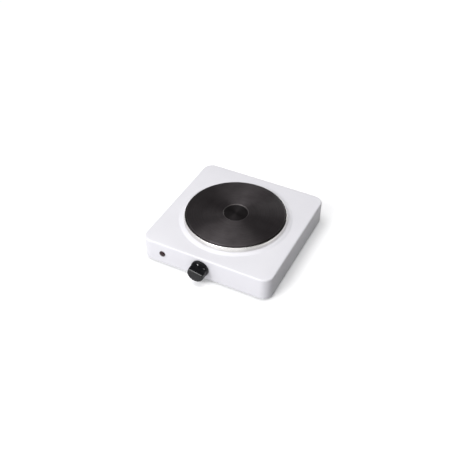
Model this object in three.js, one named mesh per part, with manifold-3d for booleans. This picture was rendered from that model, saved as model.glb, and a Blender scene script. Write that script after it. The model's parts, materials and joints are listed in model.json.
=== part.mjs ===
// Single-plate electric hot plate: a square pressed-steel casing carries one cast-iron plate in a
// trim ring, with a thermostat and its knob, a pilot lamp, wiring, a cord gland, a base and feet.
// Millimetres, +Z up. The plate's axis is x = y = 0, the table is z = 0 and the front faces -Y,
// until the whole group is shifted so that its box stands centred on the origin.
import * as THREE from 'three';
import { mergeVertices } from 'three/addons/utils/BufferGeometryUtils.js';
import Module from 'manifold-3d';

const wasm = await Module();
wasm.setup();

// ---- driving dimensions -------------------------------------------------------------------

const GAP = 0.3; // between touching pieces

// casing
const CASING_WIDTH = 250;
const CASING_DEPTH = 250;
const CASING_HEIGHT = 43; // rim to top sheet
const RIM_LIFT = 6; // table to casing rim
const SHEET = 0.8; // pressed steel
const CORNER_RADIUS = 19; // upright corners
const EDGE_RADIUS = 3; // top edge
const COLLAR_RISE = 2; // raised collar pressed round the opening
const COLLAR_WIDTH = 11; // flat of the collar
const COLLAR_SLOPE = 5; // run of its outer slope

// base and feet
const BASE_INSET = 1.5; // rim to base plate, upwards
const BASE_SIDE_GAP = 0.5;
const FOOT_INSET = 22; // foot axis from each side of the casing
const FOOT_RADIUS = 8;
const FOOT_TOP_RADIUS = 9.5;
const SCREW_RADIUS = 1.7;
const SCREW_HEAD_RADIUS = 3.6;
const SCREW_HEAD_HEIGHT = 1.8;
const SCREW_TIP = 2; // screw past what it is driven into
const SCREW_SLOT = 0.8; // width of each arm of the cross
const FOOT_POCKET = 3; // depth of the screw's pocket
const FOOT_CHAMFER = 0.6;
const LUG_THICKNESS = 1.5;
const LUG_REACH = 7; // lug past the screw, away from the wall
const VENT_LENGTH = 36;
const VENT_WIDTH = 4;
const VENT_PITCH = 10;
const VENTS_PER_SIDE = 7;
const VENT_OFFSET = 62; // vent centres from the plate's axis

// plate
const PLATE_RADIUS = 90;
const PLATE_RISE = 10; // plate's top above the collar
const PLATE_THICKNESS = 17;
const PLATE_EDGE = 1.5; // rounding of the top edge
const PLATE_FLANGE = 4.1; // flange beyond the neck that sits in the opening
const PLATE_SKIRT = 8.4; // solid wall outside the coil channel
const RECESS_RADIUS = 23;
const RECESS_DEPTH = 1.5;
const RECESS_LIP = 0.7; // chamfer round the recess
const CHANNEL_INNER = 36; // coil channel in the plate's underside
const CHANNEL_DEPTH = 8;
const NECK_TO_OPENING = 1.6;

// trim ring
const RING_SHEET = 0.6;
const RING_SIDE_GAP = 0.7; // plate's edge to the ring's wall
const RING_HEIGHT = 7;
const RING_BEAD = 2.2; // width of the rolled top
const RING_SLOPE = 2.2; // run of its outer slope
const RING_ROLL = 0.4; // rounding of the rolled top
const RING_NECK_GAP = 0.6; // neck to the ring's floor

// heating coil
const COIL_RADIUS = 2.2; // outer radius of the wound wire
const COIL_TURNS = 3;
const COIL_INSET = 5; // coil's centre line from each side of its channel
const COIL_STEPS_PER_TURN = 16;

// clamp under the plate
const COVER_SHEET = 0.8;
const COVER_LAP = 4; // cover past the channel
const STUD_RADIUS = 4;
const STUD_LENGTH = 24; // below the plate
const BRIDGE_SHEET = 2;
const BRIDGE_WIDTH = 24;
const BRIDGE_FOOT = 6; // length of each foot on the casing's underside
const BRIDGE_LEG_GAP = 1; // opening's edge to the legs
const WASHER_RADIUS = 9;
const WASHER_THICKNESS = 1.5;
const NUT_FLATS = 13;
const NUT_HEIGHT = 6.5;
const PIN_RADIUS = 1.5;
const BEAD_RADIUS = 3.2;
const BEAD_HEIGHT = 5;
const PIN_REACH = 9; // pin below the plate

// knob and thermostat
const KNOB_X = -5.5;
const KNOB_Z = RIM_LIFT + CASING_HEIGHT / 2;
const KNOB_STANDOFF = 1; // skirt to casing
const SKIRT_RADIUS = 16.5;
const SKIRT_DEPTH = 4;
const GRIP_RADIUS = 16;
const GRIP_TIP_RADIUS = 15.6;
const GRIP_DEPTH = 15.5;
const GRIP_FLAT = 7; // grip axis to its flat
const KNOB_BEVEL = 1.2;
const KNOB_WALL = 2.2;
const KNOB_HUB_WALL = 2.7;
const KNOB_REST_TURN = 10; // degrees clockwise from off
const KNOB_TRAVEL = 270;
const CLIP_WIRE = 0.8; // knob clip's thickness
const CLIP_WIDTH = 1.2;
const CLIP_SPLIT = 40; // degrees
const SPINDLE_RADIUS = 3;
const SPINDLE_FLAT_DEPTH = 0.8;
const SPINDLE_OUT = 15; // beyond the casing's front
const SPINDLE_TAIL = 4; // stop pin to the tip that presses the blade
const SPINDLE_CHAMFER = 0.4;
const BUSH_WALL = 1.4;
const BUSH_LIP = 2.3; // flange beyond the bush
const BUSH_FLANGE = 2; // its thickness
const BUSH_OUT = 1.5; // beyond the casing's front
const STOP_PIN_RADIUS = 0.8;
const STOP_PIN_OUT = 3.4; // beyond the spindle
const STOP_ARC_GAP = 1; // spindle to stop arc
const STOP_PIN_PLAY = 3; // degrees left between pin and stop at each limit
const STOP_PIN_SUNK = 1; // pin's root past the spindle's axis
const BRACKET_SHEET = 1.5;
const BRACKET_HALF_HEIGHT = 10;
const BRACKET_LEFT = 16;
const BRACKET_RIGHT = 34;
const MOUNT_SCREW_OFFSET = 11;
const MOUNT_SCREW_HEAD = 2.8;
const STACK_OFFSET = 26; // blade stack from the spindle
const STACK_RADIUS = 6;
const RIVET_RADIUS = 1.8;
const RIVET_HEAD = 1.2; // its height
const BLADE_SHEET = 0.5;
const BLADE_HALF_WIDTH = 4;
const BLADE_TAIL = 11; // terminal end past the stack's axis
const BLADE_TIP = 12; // free end past the spindle's axis
const BIMETAL_SHEET = 1;
const BIMETAL_GAP = 3; // fixed blade to bimetal
const BIMETAL_TIP = 18; // free end past the spindle's axis
const CONTACT_OFFSET = 8; // contacts past the spindle's axis
const CONTACT_RADIUS = 2;
const CONTACT_HEIGHT = 0.9;
const CONTACT_OPENING = 1.2;

// pilot lamp
const LAMP_X = -82;
const LAMP_LIP = 0.8; // lens beyond its body
const LAMP_DOME = 2.6;
const LAMP_BODY_RADIUS = 5;
const LAMP_WALL = 1.1;
const LAMP_DEPTH = 12;
const LAMP_CLIP_REACH = 3; // clip beyond the lens
const LAMP_CLIP_SHEET = 0.6;
const BULB_RADIUS = 3;
const LEAD_OFFSET = 1.8; // each lead from the lamp's axis
const RESISTOR_RADIUS = 1.3;
const RESISTOR_LENGTH = 7;

// rear
const CORD_X = 55;
const CORD_Z = 24;
const GLAND_BORE = 3.6;
const GLAND_BODY = 6.2;
const GLAND_FLANGE = 9;
const GLAND_OUT = 3.4; // beyond the rear face
const GLAND_IN = 4; // past the wall's inside
const GLAND_TAPER = 2;
const GLAND_BARB = 1.8; // barb beyond the body
const BLOCK_X = 20;
const BLOCK_Y = 98;
const BLOCK_SIZE = [34, 16, 14];
const TERMINAL_PITCH = 10;
const TERMINAL_SCREW_RADIUS = 2;
const TERMINAL_WELL = 5; // depth of each screw's well
const PORT_DEPTH = 5; // wire ports
const PORT_PLAY = 0.6; // all round a wire
const BLOCK_SCREW_HOLE = 8; // depth
const EARTH_X = 78;
const EARTH_Y = 92;
const EARTH_NUT_FLATS = 7;
const EARTH_NUT_HEIGHT = 3;
const WIRE_RADIUS = 1.2;

// ---- levels and places that follow --------------------------------------------------------

const FRONT = -CASING_DEPTH / 2;
const REAR = CASING_DEPTH / 2;
const TOP = RIM_LIFT + CASING_HEIGHT;
const COLLAR_TOP = TOP + COLLAR_RISE;
const PLATE_NECK_RADIUS = PLATE_RADIUS - PLATE_FLANGE;
const OPENING_RADIUS = PLATE_NECK_RADIUS + NECK_TO_OPENING;
const COLLAR_FLAT_RADIUS = OPENING_RADIUS + COLLAR_WIDTH;
const COLLAR_FOOT_RADIUS = COLLAR_FLAT_RADIUS + COLLAR_SLOPE;
const BASE_LOW = RIM_LIFT + BASE_INSET;
const BASE_TOP = BASE_LOW + SHEET;
const PLATE_TOP = COLLAR_TOP + PLATE_RISE;
const PLATE_LOW = PLATE_TOP - PLATE_THICKNESS;
const RING_LOW = COLLAR_TOP + GAP;
const CHANNEL_TOP = PLATE_LOW + CHANNEL_DEPTH;
const COVER_TOP = PLATE_LOW - GAP;
const COVER_LOW = COVER_TOP - COVER_SHEET;
const BRIDGE_TOP = COVER_LOW - GAP;
const BRIDGE_LOW = BRIDGE_TOP - BRIDGE_SHEET;
const BRIDGE_FOOT_TOP = COLLAR_TOP - SHEET - GAP;
const WASHER_TOP = BRIDGE_LOW - GAP;
const NUT_TOP = WASHER_TOP - WASHER_THICKNESS - GAP;
const SCREW_HOLE = SCREW_RADIUS + GAP;
const FOOT_X = CASING_WIDTH / 2 - FOOT_INSET;
const FOOT_Y = CASING_DEPTH / 2 - FOOT_INSET;
const LUG_LOW = BASE_TOP + GAP;

const CHANNEL_OUTER = PLATE_NECK_RADIUS - PLATE_SKIRT;
const COIL_INNER = CHANNEL_INNER + COIL_INSET;
const COIL_OUTER = CHANNEL_OUTER - COIL_INSET;
const COVER_RADIUS = CHANNEL_OUTER + COVER_LAP;
const BUSH_RADIUS = SPINDLE_RADIUS + GAP + BUSH_WALL;
const BUSH_FLANGE_RADIUS = BUSH_RADIUS + BUSH_LIP;
const STOP_PIN_REACH = SPINDLE_RADIUS + STOP_PIN_OUT;
const STOP_ARC_INNER = SPINDLE_RADIUS + STOP_ARC_GAP;
const SPINDLE_FLAT = SPINDLE_RADIUS - SPINDLE_FLAT_DEPTH;
const KNOB_HUB_RADIUS = SPINDLE_RADIUS + GAP + KNOB_HUB_WALL;
const STACK_BORE = RIVET_RADIUS + GAP;
const LAMP_RADIUS = LAMP_BODY_RADIUS + LAMP_LIP;

// thermostat levels, measured inwards (+Y) from the casing's front face
const BRACKET_FRONT = SHEET + GAP;
const BRACKET_BACK = BRACKET_FRONT + BRACKET_SHEET;
const BUSH_FLANGE_FRONT = BRACKET_BACK + GAP;
const BUSH_BACK = BUSH_FLANGE_FRONT + BUSH_FLANGE;
const STOP_PIN_Y = BUSH_BACK + GAP + STOP_PIN_RADIUS;
const SPINDLE_BACK = STOP_PIN_Y + SPINDLE_TAIL;
const MOVING_BLADE_Y = SPINDLE_BACK + GAP;
const FIXED_BLADE_Y = MOVING_BLADE_Y + BLADE_SHEET + 2 * CONTACT_HEIGHT + CONTACT_OPENING;
const BIMETAL_Y = FIXED_BLADE_Y + BLADE_SHEET + BIMETAL_GAP;
const STACK_BACK = BIMETAL_Y + BIMETAL_SHEET;
const KNOB_FRONT = KNOB_STANDOFF + SKIRT_DEPTH + GRIP_DEPTH;
const KNOB_HUB_BACK = -BUSH_OUT - 1; // just clear of the bush

const ROUND_LARGE = 48;
const ROUND_MEDIUM = 24;
const ROUND_SMALL = 12;
const CORNER_STEPS = 5;
const EDGE_STEPS = 5;
const ARC_STEPS = 12;
const WIRE_STEPS_PER_POINT = 3;
const OVERRUN = 1; // cutting tools past the faces they cut
const DEGREE = Math.PI / 180;

// ---- solid helpers ------------------------------------------------------------------------

// Positions and triangles only, shared vertices merged, faces pointing out.
function closedMesh(geometry) {
  const bare = new THREE.BufferGeometry();
  bare.setAttribute('position', geometry.getAttribute('position').clone());
  bare.setIndex(geometry.getIndex());
  const merged = mergeVertices(bare, 1e-4);
  const position = merged.getAttribute('position');
  const index = merged.getIndex();
  const corners = [0, 1, 2].map(() => new THREE.Vector3());
  const kept = [];
  let volume = 0;
  for (let i = 0; i < index.count; i += 3) {
    const ids = [index.getX(i), index.getX(i + 1), index.getX(i + 2)];
    if (new Set(ids).size < 3) continue;
    ids.forEach((id, k) => corners[k].fromBufferAttribute(position, id));
    volume += corners[0].dot(corners[1].clone().cross(corners[2]));
    kept.push(ids);
  }
  const outward = volume > 0 ? kept : kept.map(([a, b, c]) => [a, c, b]);
  merged.setIndex(outward.flat());
  return merged;
}

function toManifold(geometry) {
  const mesh = closedMesh(geometry);
  const vertProperties = Float32Array.from(mesh.getAttribute('position').array);
  const triVerts = Uint32Array.from(mesh.getIndex().array);
  return new wasm.Manifold(new wasm.Mesh({ numProp: 3, vertProperties, triVerts }));
}

function fromManifold(solid) {
  const { numProp, vertProperties, triVerts } = solid.getMesh();
  const positions = new Float32Array((vertProperties.length / numProp) * 3);
  for (let i = 0; i < positions.length / 3; i += 1) {
    positions.set(vertProperties.subarray(i * numProp, i * numProp + 3), i * 3);
  }
  const geometry = new THREE.BufferGeometry();
  geometry.setAttribute('position', new THREE.BufferAttribute(positions, 3));
  geometry.setIndex(new THREE.BufferAttribute(Uint32Array.from(triVerts), 1));
  geometry.computeVertexNormals();
  return geometry;
}

function cut(geometry, tools) {
  const solid = tools.reduce((rest, tool) => rest.subtract(toManifold(tool)), toManifold(geometry));
  return fromManifold(solid);
}

function join(pieces) {
  const [first, ...others] = pieces.map(toManifold);
  return fromManifold(others.reduce((sum, piece) => sum.add(piece), first));
}

// A solid turned about Y: [radius, height] pairs that start and end on the axis, or close up.
function turnedY(pairs, segments = ROUND_MEDIUM) {
  const points = pairs.map(([radius, height]) => new THREE.Vector2(radius, height));
  const open = pairs[0][0] > 0 || pairs.at(-1)[0] > 0;
  if (open) points.push(points[0].clone());
  return closedMesh(new THREE.LatheGeometry(points, segments));
}

function turnedZ(pairs, segments) {
  return turnedY(pairs, segments).rotateX(Math.PI / 2);
}

const solidProfile = (radius, low, high) => [[0, low], [radius, low], [radius, high], [0, high]];
const tubeProfile = (inner, outer, low, high) => [
  [inner, low], [outer, low], [outer, high], [inner, high],
];

const rodY = (radius, low, high, segments) => turnedY(solidProfile(radius, low, high), segments);
const rodZ = (radius, low, high, segments) => turnedZ(solidProfile(radius, low, high), segments);
const tubeY = (inner, outer, low, high, segments) => turnedY(tubeProfile(inner, outer, low, high), segments);
const tubeZ = (inner, outer, low, high, segments) => turnedZ(tubeProfile(inner, outer, low, high), segments);

function box(low, high) {
  const size = high.map((value, i) => value - low[i]);
  const centre = high.map((value, i) => (value + low[i]) / 2);
  return new THREE.BoxGeometry(...size).translate(...centre);
}

// A rounded rectangle at one level, as a ring of points.
function roundedRing(halfX, halfY, radius, z) {
  const points = [];
  for (let corner = 0; corner < 4; corner += 1) {
    const signX = corner === 0 || corner === 3 ? 1 : -1;
    const signY = corner < 2 ? 1 : -1;
    for (let step = 0; step <= CORNER_STEPS; step += 1) {
      const angle = (corner + step / CORNER_STEPS) * (Math.PI / 2);
      const x = signX * (halfX - radius) + radius * Math.cos(angle);
      const y = signY * (halfY - radius) + radius * Math.sin(angle);
      points.push([x, y, z]);
    }
  }
  return points;
}

// Stacked rings of equal length, skinned and closed at both ends.
function loft(rings) {
  const count = rings[0].length;
  const positions = rings.flat();
  const triangles = [];
  for (let level = 0; level < rings.length - 1; level += 1) {
    for (let i = 0; i < count; i += 1) {
      const a = level * count + i;
      const b = level * count + ((i + 1) % count);
      triangles.push([a, b, b + count], [a, b + count, a + count]);
    }
  }
  for (const [ring, start] of [[rings[0], 0], [rings.at(-1), (rings.length - 1) * count]]) {
    const hub = positions.push([0, 0, ring[0][2]]) - 1;
    for (let i = 0; i < count; i += 1) {
      const face = [start + i, start + ((i + 1) % count), hub];
      triangles.push(start === 0 ? face.reverse() : face);
    }
  }
  const geometry = new THREE.BufferGeometry();
  geometry.setAttribute('position', new THREE.Float32BufferAttribute(positions.flat(), 3));
  geometry.setIndex(triangles.flat());
  return closedMesh(geometry);
}

// A block with rounded upright corners and a rounded top edge, inset all round by `inset`.
function roundedBlock(inset, low, high, edge) {
  const ring = (back, z) => roundedRing(
    CASING_WIDTH / 2 - back,
    CASING_DEPTH / 2 - back,
    CORNER_RADIUS - back,
    z,
  );
  const rings = [ring(inset, low)];
  const steps = edge > 0 ? EDGE_STEPS : 0;
  for (let step = 0; step <= steps; step += 1) {
    const angle = steps ? (step / steps) * (Math.PI / 2) : 0;
    rings.push(ring(inset + edge * (1 - Math.cos(angle)), high - edge * (1 - Math.sin(angle))));
  }
  return loft(rings);
}

// A flat outline in the XZ plane, extruded along Y from `low` to `high`.
function extrudedY(outline, low, high) {
  const shape = new THREE.Shape(outline.map(([x, z]) => new THREE.Vector2(x, z)));
  const slab = new THREE.ExtrudeGeometry(shape, { depth: high - low, bevelEnabled: false });
  return closedMesh(slab.rotateX(Math.PI / 2).translate(0, high, 0));
}

function hexagonZ(flats, low, high) {
  const radius = flats / 2 / Math.cos(Math.PI / 6);
  return rodZ(radius, low, high, 6);
}

function circleShape(radius, sides) {
  const points = [];
  for (let i = 0; i < sides; i += 1) {
    const angle = (i / sides) * Math.PI * 2;
    points.push(new THREE.Vector2(radius * Math.cos(angle), radius * Math.sin(angle)));
  }
  return new THREE.Shape(points);
}

function tubeAlong(curve, radius, steps, sides = 6) {
  const options = { steps, extrudePath: curve, bevelEnabled: false };
  return closedMesh(new THREE.ExtrudeGeometry(circleShape(radius, sides), options));
}

const finish = (color, roughness, metalness) => () => (
  new THREE.MeshStandardMaterial({ color, roughness, metalness })
);
const enamel = finish(0xeeedf2, 0.3, 0);
const galvanised = finish(0xa8acb0, 0.45, 0.9);
const castIron = finish(0x37332f, 0.55, 0.5);
const stainless = finish(0xc9c9c9, 0.22, 1);
const platedSteel = finish(0xb9bcbf, 0.35, 0.9);
const brass = finish(0xb8964a, 0.35, 0.9);
const bimetal = finish(0x8d8779, 0.4, 0.9);
const ceramic = finish(0xe6e0d2, 0.7, 0);
const cement = finish(0xb8b0a2, 0.95, 0);
const nichrome = finish(0x5a5552, 0.6, 0.8);
const blackPlastic = finish(0x1b1b1e, 0.35, 0);
const blackRubber = finish(0x202020, 0.85, 0);
const redLens = finish(0x4d1216, 0.15, 0);
const glass = finish(0xf0e2d8, 0.1, 0);
const insulation = (color) => finish(color, 0.7, 0);

function part(name, geometry, makeMaterial, position = [0, 0, 0]) {
  const mesh = new THREE.Mesh(geometry, makeMaterial());
  mesh.name = name;
  mesh.position.set(...position);
  return mesh;
}

// ---- casing, base and feet ----------------------------------------------------------------

const footPlaces = [
  ['front_left', -FOOT_X, -FOOT_Y],
  ['front_right', FOOT_X, -FOOT_Y],
  ['rear_left', -FOOT_X, FOOT_Y],
  ['rear_right', FOOT_X, FOOT_Y],
];

// A welded lug in each corner takes the screw that holds the base plate and the foot.
function cornerLug(x, y) {
  const wall = CASING_WIDTH / 2 - SHEET / 2;
  const ends = [Math.sign(x) * wall, x - Math.sign(x) * LUG_REACH];
  return box(
    [Math.min(...ends), y - LUG_REACH, LUG_LOW],
    [Math.max(...ends), y + LUG_REACH, LUG_LOW + LUG_THICKNESS],
  );
}

function casing() {
  const shell = cut(roundedBlock(0, RIM_LIFT, TOP, EDGE_RADIUS), [
    roundedBlock(SHEET, RIM_LIFT - OVERRUN, TOP - SHEET, EDGE_RADIUS - SHEET),
    rodZ(COLLAR_FOOT_RADIUS, TOP - 2 * SHEET, TOP + OVERRUN, ROUND_LARGE),
  ]);
  const collar = turnedZ([
    [OPENING_RADIUS, COLLAR_TOP - SHEET],
    [COLLAR_FLAT_RADIUS - SHEET / 2, COLLAR_TOP - SHEET],
    [COLLAR_FOOT_RADIUS - SHEET / 2, TOP - SHEET],
    [COLLAR_FOOT_RADIUS + SHEET, TOP - SHEET],
    [COLLAR_FOOT_RADIUS + SHEET, TOP],
    [COLLAR_FOOT_RADIUS, TOP],
    [COLLAR_FLAT_RADIUS, COLLAR_TOP],
    [OPENING_RADIUS, COLLAR_TOP],
  ], ROUND_LARGE);
  const lugs = footPlaces.map(([, x, y]) => cornerLug(x, y));
  const frontHole = (radius, x) => (
    rodY(radius, FRONT - OVERRUN, FRONT + SHEET + OVERRUN, ROUND_MEDIUM).translate(x, 0, KNOB_Z)
  );
  const holes = [
    frontHole(BUSH_RADIUS + GAP, KNOB_X),
    frontHole(SCREW_HOLE, KNOB_X - MOUNT_SCREW_OFFSET),
    frontHole(SCREW_HOLE, KNOB_X + MOUNT_SCREW_OFFSET),
    frontHole(LAMP_BODY_RADIUS + GAP, LAMP_X),
    rodY(GLAND_BODY + GAP, REAR - SHEET - OVERRUN, REAR + OVERRUN).translate(CORD_X, 0, CORD_Z),
    ...footPlaces.map(([, x, y]) => (
      rodZ(SCREW_HOLE, LUG_LOW - OVERRUN, LUG_LOW + LUG_THICKNESS + OVERRUN, ROUND_SMALL).translate(x, y, 0)
    )),
  ];
  return part('casing', cut(join([shell, collar, ...lugs]), holes), enamel);
}

function basePlate() {
  const inset = SHEET + BASE_SIDE_GAP;
  const plate = roundedBlock(inset, BASE_LOW, BASE_TOP, 0);
  const low = BASE_LOW - OVERRUN;
  const high = BASE_TOP + OVERRUN;
  const screwHoles = [...footPlaces.map(([, x, y]) => [x, y]), [EARTH_X, EARTH_Y], [BLOCK_X, BLOCK_Y]];
  const tools = screwHoles.map(([x, y]) => rodZ(SCREW_HOLE, low, high, ROUND_SMALL).translate(x, y, 0));
  for (const side of [-1, 1]) {
    for (let i = 0; i < VENTS_PER_SIDE; i += 1) {
      const y = (i - (VENTS_PER_SIDE - 1) / 2) * VENT_PITCH;
      const x = side * VENT_OFFSET;
      tools.push(box(
        [x - VENT_LENGTH / 2, y - VENT_WIDTH / 2, low],
        [x + VENT_LENGTH / 2, y + VENT_WIDTH / 2, high],
      ));
    }
  }
  return part('base_plate', cut(plate, tools), galvanised);
}

const FOOT_TOP = BASE_LOW - GAP;

function foot(name, x, y) {
  const pocketRadius = SCREW_HEAD_RADIUS + 1;
  const geometry = turnedZ([
    [pocketRadius, 0],
    [FOOT_RADIUS - FOOT_CHAMFER, 0],
    [FOOT_RADIUS, FOOT_CHAMFER],
    [FOOT_TOP_RADIUS, FOOT_TOP],
    [SCREW_HOLE, FOOT_TOP],
    [SCREW_HOLE, FOOT_POCKET],
    [pocketRadius, FOOT_POCKET],
  ]);
  return part(`foot_${name}`, geometry, blackRubber, [x, y, 0]);
}

// A pan-head screw standing up from its head's seat at z = 0, with a cross recess below.
function screwGeometry(radius, headRadius, length) {
  const body = turnedZ([
    [0, -SCREW_HEAD_HEIGHT],
    [headRadius * 0.7, -SCREW_HEAD_HEIGHT],
    [headRadius, -SCREW_HEAD_HEIGHT / 2],
    [headRadius, 0],
    [radius, 0],
    [radius, length],
    [0, length],
  ], ROUND_SMALL);
  const reach = headRadius * 0.55;
  const low = -SCREW_HEAD_HEIGHT - OVERRUN;
  const high = -SCREW_HEAD_HEIGHT * 0.45;
  return cut(body, [
    box([-reach, -SCREW_SLOT / 2, low], [reach, SCREW_SLOT / 2, high]),
    box([-SCREW_SLOT / 2, -reach, low], [SCREW_SLOT / 2, reach, high]),
  ]);
}

function footScrew(name, x, y) {
  const seat = FOOT_POCKET - GAP;
  const length = LUG_LOW + LUG_THICKNESS + SCREW_TIP - seat;
  const geometry = screwGeometry(SCREW_RADIUS, SCREW_HEAD_RADIUS, length);
  return part(`foot_screw_${name}`, geometry, platedSteel, [x, y, seat]);
}

// ---- plate, ring, coil and clamp ----------------------------------------------------------

function hotPlate() {
  const flangeLow = RING_LOW + RING_SHEET + GAP;
  const studHole = STUD_RADIUS + GAP;
  const geometry = turnedZ([
    [0, PLATE_TOP - RECESS_DEPTH],
    [RECESS_RADIUS - 2 * RECESS_LIP, PLATE_TOP - RECESS_DEPTH],
    [RECESS_RADIUS, PLATE_TOP - RECESS_LIP / 2],
    [RECESS_RADIUS + RECESS_LIP, PLATE_TOP],
    [PLATE_RADIUS - PLATE_EDGE, PLATE_TOP],
    [PLATE_RADIUS - PLATE_EDGE * 0.3, PLATE_TOP - PLATE_EDGE * 0.3],
    [PLATE_RADIUS, PLATE_TOP - PLATE_EDGE],
    [PLATE_RADIUS, flangeLow],
    [PLATE_NECK_RADIUS, flangeLow],
    [PLATE_NECK_RADIUS, PLATE_LOW],
    [CHANNEL_OUTER, PLATE_LOW],
    [CHANNEL_OUTER, CHANNEL_TOP],
    [CHANNEL_INNER, CHANNEL_TOP],
    [CHANNEL_INNER, PLATE_LOW],
    [studHole, PLATE_LOW],
    [studHole, CHANNEL_TOP],
    [0, CHANNEL_TOP],
  ], ROUND_LARGE);
  return part('hot_plate', geometry, castIron);
}

// A sheet gutter under the plate's flange, rolled over outside it and sloping down to the collar.
function trimRing() {
  const floor = PLATE_NECK_RADIUS + RING_NECK_GAP;
  const wall = PLATE_RADIUS + RING_SIDE_GAP;
  const shoulder = wall + RING_BEAD;
  const hem = shoulder + RING_SLOPE;
  const crown = RING_LOW + RING_HEIGHT;
  const geometry = turnedZ([
    [floor, RING_LOW],
    [wall + RING_SHEET, RING_LOW],
    [wall + RING_SHEET, crown - RING_SHEET],
    [shoulder - RING_SHEET, crown - RING_SHEET],
    [hem - RING_SHEET, RING_LOW],
    [hem, RING_LOW],
    [shoulder, crown - RING_ROLL],
    [shoulder - RING_ROLL, crown],
    [wall + RING_ROLL, crown],
    [wall, crown - RING_ROLL],
    [wall, RING_LOW + RING_SHEET],
    [floor, RING_LOW + RING_SHEET],
  ], ROUND_LARGE);
  return part('trim_ring', geometry, stainless);
}

// The coil winds outwards in its channel and drops out of the plate at both ends, at the front.
function coilTube(radius, reach) {
  const steps = COIL_TURNS * COIL_STEPS_PER_TURN;
  const middle = (CHANNEL_TOP + PLATE_LOW) / 2;
  const points = [];
  for (let i = 0; i <= steps; i += 1) {
    const distance = THREE.MathUtils.lerp(COIL_INNER, COIL_OUTER, i / steps);
    const angle = (i / COIL_STEPS_PER_TURN) * Math.PI * 2 - Math.PI / 2;
    points.push(new THREE.Vector3(distance * Math.cos(angle), distance * Math.sin(angle), middle));
  }
  const tube = tubeAlong(new THREE.CatmullRomCurve3(points), radius, steps);
  const tails = [COIL_INNER, COIL_OUTER].map((distance) => (
    rodZ(radius, PLATE_LOW - reach, middle + radius, ROUND_SMALL).translate(0, -distance, 0)
  ));
  return join([tube, ...tails]);
}

function heatingCoil() {
  return part('heating_coil', coilTube(COIL_RADIUS, -GAP), nichrome);
}

function coilFiller() {
  const ring = tubeZ(
    CHANNEL_INNER + GAP, CHANNEL_OUTER - GAP, PLATE_LOW + GAP, CHANNEL_TOP - GAP, ROUND_LARGE,
  );
  return part('coil_filler', cut(ring, [coilTube(COIL_RADIUS + GAP, OVERRUN)]), cement);
}

function plateCover() {
  const disc = tubeZ(STUD_RADIUS + GAP, COVER_RADIUS, COVER_LOW, COVER_TOP, ROUND_LARGE);
  const beadHoles = [COIL_INNER, COIL_OUTER].map((distance) => (
    rodZ(BEAD_RADIUS + GAP, COVER_LOW - OVERRUN, COVER_TOP + OVERRUN, ROUND_SMALL).translate(0, -distance, 0)
  ));
  return part('plate_cover', cut(disc, beadHoles), galvanised);
}

function clampStud() {
  const rod = rodZ(STUD_RADIUS, PLATE_LOW - STUD_LENGTH, CHANNEL_TOP - GAP, ROUND_SMALL);
  return part('clamp_stud', rod, platedSteel);
}

// A bar under the plate whose raised feet bear on the underside of the casing's collar.
function clampBridge() {
  const leg = OPENING_RADIUS + BRIDGE_LEG_GAP;
  const tip = leg + BRIDGE_SHEET + BRIDGE_FOOT;
  const half = [
    [leg + BRIDGE_SHEET, BRIDGE_LOW],
    [leg + BRIDGE_SHEET, BRIDGE_FOOT_TOP - BRIDGE_SHEET],
    [tip, BRIDGE_FOOT_TOP - BRIDGE_SHEET],
    [tip, BRIDGE_FOOT_TOP],
    [leg, BRIDGE_FOOT_TOP],
    [leg, BRIDGE_TOP],
  ];
  const mirrored = half.map(([x, z]) => [-x, z]).reverse();
  const bar = extrudedY([...half, ...mirrored], -BRIDGE_WIDTH / 2, BRIDGE_WIDTH / 2);
  const hole = rodZ(STUD_RADIUS + GAP, BRIDGE_LOW - OVERRUN, BRIDGE_TOP + OVERRUN, ROUND_SMALL);
  return part('clamp_bridge', cut(bar, [hole]), galvanised);
}

function clampWasher() {
  const low = WASHER_TOP - WASHER_THICKNESS;
  const geometry = tubeZ(STUD_RADIUS + GAP, WASHER_RADIUS, low, WASHER_TOP, ROUND_MEDIUM);
  return part('clamp_washer', geometry, platedSteel);
}

function nutGeometry(flats, bore, low, high) {
  const hole = rodZ(bore + GAP, low - OVERRUN, high + OVERRUN, ROUND_SMALL);
  return cut(hexagonZ(flats, low, high), [hole]);
}

function clampNut() {
  const geometry = nutGeometry(NUT_FLATS, STUD_RADIUS, NUT_TOP - NUT_HEIGHT, NUT_TOP);
  return part('clamp_nut', geometry, platedSteel);
}

// Each end of the coil meets a pin that leaves the cover through a ceramic bead.
function elementTerminals() {
  return [['inner', COIL_INNER], ['outer', COIL_OUTER]].flatMap(([side, distance]) => {
    const bead = tubeZ(PIN_RADIUS + GAP, BEAD_RADIUS, PLATE_LOW - BEAD_HEIGHT, COVER_TOP, ROUND_SMALL);
    const pin = rodZ(PIN_RADIUS, PLATE_LOW - PIN_REACH, PLATE_LOW, ROUND_SMALL);
    return [
      part(`terminal_bead_${side}`, bead, ceramic, [0, -distance, 0]),
      part(`element_pin_${side}`, pin, platedSteel, [0, -distance, 0]),
    ];
  });
}

// ---- thermostat and knob, about the knob's axis, y measured from the casing's front --------

function thermostatBracket() {
  const plate = box(
    [-BRACKET_LEFT, BRACKET_FRONT, -BRACKET_HALF_HEIGHT],
    [BRACKET_RIGHT, BRACKET_BACK, BRACKET_HALF_HEIGHT],
  );
  const hole = (radius, x) => (
    rodY(radius, BRACKET_FRONT - OVERRUN, BRACKET_BACK + OVERRUN, ROUND_SMALL).translate(x, 0, 0)
  );
  return part('thermostat_bracket', cut(plate, [
    hole(BUSH_RADIUS + GAP, 0),
    hole(SCREW_HOLE, -MOUNT_SCREW_OFFSET),
    hole(SCREW_HOLE, MOUNT_SCREW_OFFSET),
    hole(STACK_BORE, STACK_OFFSET),
  ]), galvanised);
}

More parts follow.
